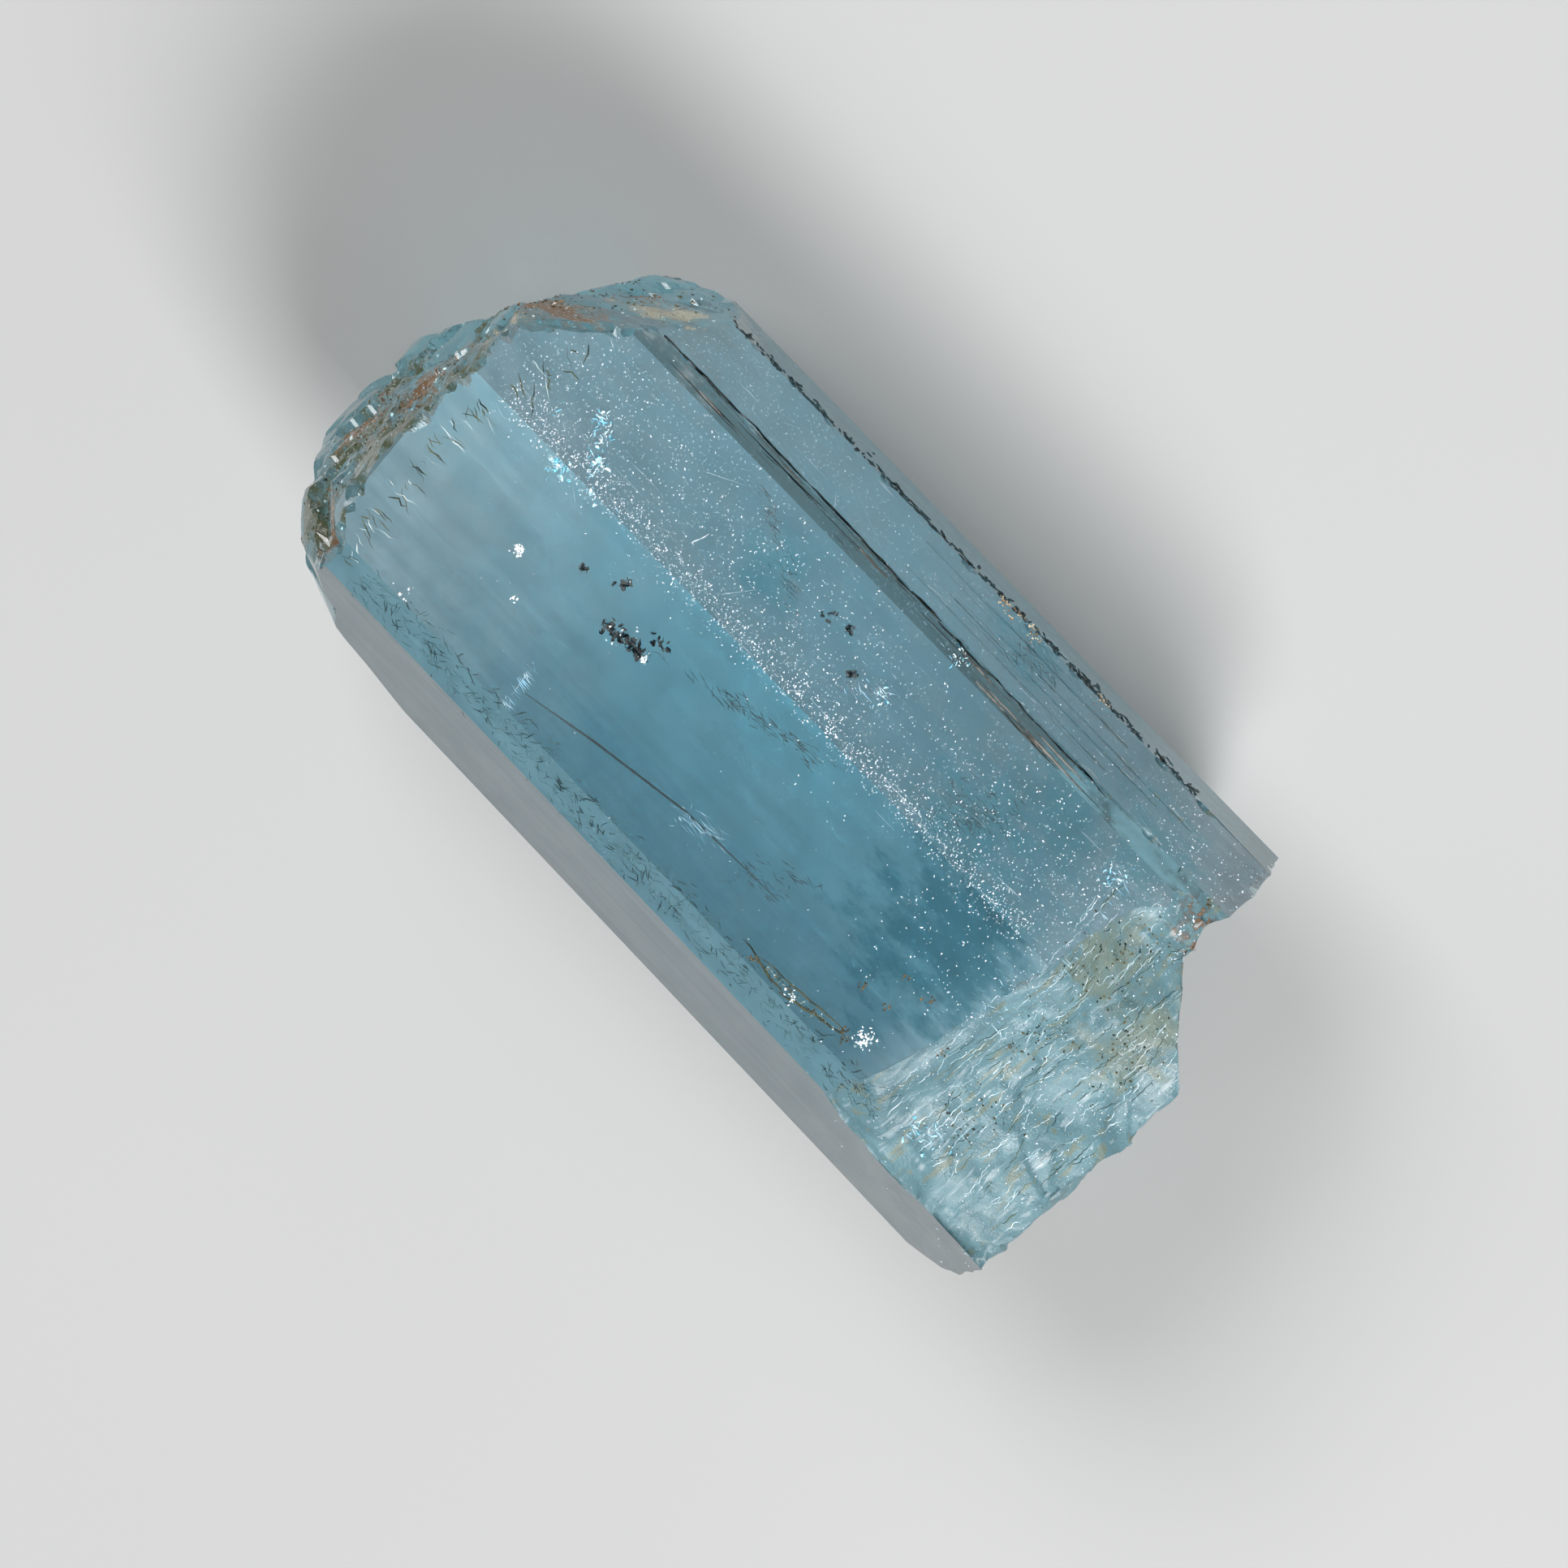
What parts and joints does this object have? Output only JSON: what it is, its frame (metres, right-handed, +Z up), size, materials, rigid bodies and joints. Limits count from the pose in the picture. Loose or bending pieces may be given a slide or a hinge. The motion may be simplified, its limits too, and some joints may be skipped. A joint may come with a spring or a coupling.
{
  "type": "aquamarine crystal",
  "caption": "Short clear blue prism of beryl with a blunt bevelled top and a notched, broken base; lies on one side face.",
  "frame": {"origin": "on the surface the crystal lies on, under the middle of the box it fills", "axes": "+X along the crystal from the broken base to the natural top, +Z up out of the broad face, -Y towards the steep side face"},
  "size_m": [0.0244, 0.012, 0.01],
  "materials": {
    "aquamarine": "clear pale blue beryl with satin side faces, a pitted top and a rough glassy break"
  },
  "bodies": {
    "root": {"crystal": "aquamarine"}
  },
  "joints": []
}
